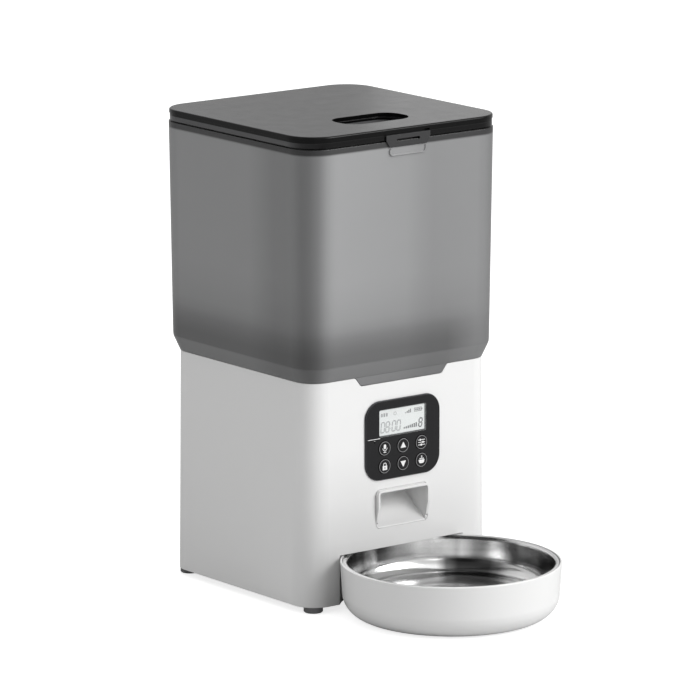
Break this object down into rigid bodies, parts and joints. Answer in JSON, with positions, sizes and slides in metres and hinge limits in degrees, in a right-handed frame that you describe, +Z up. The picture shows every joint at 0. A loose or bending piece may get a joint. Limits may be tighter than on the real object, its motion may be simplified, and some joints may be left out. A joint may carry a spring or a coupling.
{
  "type": "automatic pet feeder",
  "caption": "Countertop dry food dispenser: square smoke hopper with black lid on a white casing with key panel and chute, over a round tray with steel bowl.",
  "frame": {"origin": "on the supporting surface, under the centre of the bounding box", "axes": "+Z up, -Y towards the bowl at the front, +X to the right as seen from the front"},
  "size_m": [0.187, 0.3216, 0.36],
  "materials": {
    "casing_white": "gloss moulded",
    "tray_white": "gloss moulded",
    "hopper_smoke": "satin translucent smoke",
    "funnel_smoke": "satin",
    "lid_black": "gloss",
    "latch_smoke": "gloss",
    "seal_silicone": "matte",
    "desiccant_plastic": "satin",
    "desiccant_paper": "matte",
    "steel_bowl": "brushed and polished",
    "foot_rubber": "matte",
    "panel_black": "gloss",
    "window_clear": "clear",
    "lcd_glass": "reflective display",
    "key_black": "gloss",
    "keypad_silicone": "matte",
    "circuit_board": "solder mask",
    "cable_grey": "satin",
    "inner_plastic": "satin",
    "gear_acetal": "satin",
    "blade_silicone": "matte",
    "plain_steel": "machined",
    "motor_steel": "plated",
    "cell_jacket": "satin jacket",
    "contact_metal": "plated",
    "bush_brass": "sintered",
    "cone_paper": "matte"
  },
  "bodies": {
    "base": {"base_shell": "casing_white", "base_plate": "casing_white", "foot_front_left": "foot_rubber", "foot_front_right": "foot_rubber", "foot_rear_left": "foot_rubber", "foot_rear_right": "foot_rubber", "base_screws": "plain_steel", "battery_tray": "inner_plastic", "batteries": "cell_jacket", "battery_contacts": "contact_metal", "dispenser_drum": "inner_plastic", "outlet_baffle": "inner_plastic", "drum_bush": "bush_brass", "gearbox_lower": "inner_plastic", "gearbox_cover": "inner_plastic", "gearbox_screws": "plain_steel", "idler_pin": "plain_steel", "motor": "motor_steel", "chute": "casing_white", "chute_rim": "casing_white", "control_panel": "panel_black", "display_window": "window_clear", "lcd_display": "lcd_glass", "keypad_mat": "keypad_silicone", "microphone": "plain_steel", "panel_board": "circuit_board", "panel_screws": "plain_steel", "panel_cable": "cable_grey", "main_board": "circuit_board", "main_board_screws": "plain_steel", "speaker": "motor_steel", "speaker_cone": "cone_paper", "power_board": "circuit_board", "usb_socket": "plain_steel"},
    "battery_door": {"battery_door": "casing_white"},
    "rotor": {"paddle_hub": "inner_plastic", "paddle_blades": "blade_silicone", "spindle": "plain_steel", "output_gear": "gear_acetal"},
    "idler": {"idler_gear": "gear_acetal"},
    "pinion": {"motor_pinion": "gear_acetal"},
    "key_record": {"button_record": "key_black"},
    "key_up": {"button_up": "key_black"},
    "key_set": {"button_set": "key_black"},
    "key_lock": {"button_lock": "key_black"},
    "key_down": {"button_down": "key_black"},
    "key_feed": {"button_feed": "key_black"},
    "hopper": {"hopper_shell": "hopper_smoke", "hopper_funnel": "funnel_smoke"},
    "lid": {"lid_panel": "lid_black", "lid_seal": "seal_silicone", "desiccant_box": "desiccant_plastic", "desiccant_bag": "desiccant_paper", "desiccant_cover": "desiccant_plastic"},
    "latch": {"lid_latch": "latch_smoke"},
    "bowl": {"bowl_tray": "tray_white", "bowl_liner": "steel_bowl"}
  },
  "joints": [
    {"name": "hopper_lift", "type": "slide", "parent": "base", "child": "hopper", "axis": [0, 0, 1], "range_m": [0, 0.12]},
    {"name": "lid_lift", "type": "slide", "parent": "hopper", "child": "lid", "axis": [0, 0, 1], "range_m": [0, 0.1]},
    {"name": "latch_flex", "type": "hinge", "parent": "lid", "child": "latch", "pos_m": [0, -0.02382, 0.3541], "axis": [-1, 0, 0], "range_deg": [0, 18], "stiffness_Nm_per_rad": 0.05},
    {"name": "rotor_spin", "type": "hinge", "parent": "base", "child": "rotor", "pos_m": [0, 0.06728, 0.1], "axis": [0, 0, 1], "continuous": true},
    {"name": "idler_spin", "type": "hinge", "parent": "base", "child": "idler", "pos_m": [0, 0.09535, 0.08], "axis": [0, 0, 1], "continuous": true},
    {"name": "pinion_spin", "type": "hinge", "parent": "base", "child": "pinion", "pos_m": [0.02639, 0.10496, 0.08], "axis": [0, 0, 1], "continuous": true},
    {"name": "bowl_pull", "type": "slide", "parent": "base", "child": "bowl", "axis": [0, -1, 0], "range_m": [0, 0.06]},
    {"name": "battery_door_slide", "type": "slide", "parent": "base", "child": "battery_door", "axis": [0, -1, 0], "range_m": [0, 0.011]},
    {"name": "press_record", "type": "slide", "parent": "base", "child": "key_record", "axis": [0, 1, 0], "range_m": [0, 0.0008], "stiffness_N_per_m": 1200},
    {"name": "press_up", "type": "slide", "parent": "base", "child": "key_up", "axis": [0, 1, 0], "range_m": [0, 0.0008], "stiffness_N_per_m": 1200},
    {"name": "press_set", "type": "slide", "parent": "base", "child": "key_set", "axis": [0, 1, 0], "range_m": [0, 0.0008], "stiffness_N_per_m": 1200},
    {"name": "press_lock", "type": "slide", "parent": "base", "child": "key_lock", "axis": [0, 1, 0], "range_m": [0, 0.0008], "stiffness_N_per_m": 1200},
    {"name": "press_down", "type": "slide", "parent": "base", "child": "key_down", "axis": [0, 1, 0], "range_m": [0, 0.0008], "stiffness_N_per_m": 1200},
    {"name": "press_feed", "type": "slide", "parent": "base", "child": "key_feed", "axis": [0, 1, 0], "range_m": [0, 0.0008], "stiffness_N_per_m": 1200}
  ],
  "couplings": [
    {"joint": "idler_spin", "follows": "rotor_spin", "ratio": -3.6667},
    {"joint": "pinion_spin", "follows": "rotor_spin", "ratio": 13.444}
  ]
}
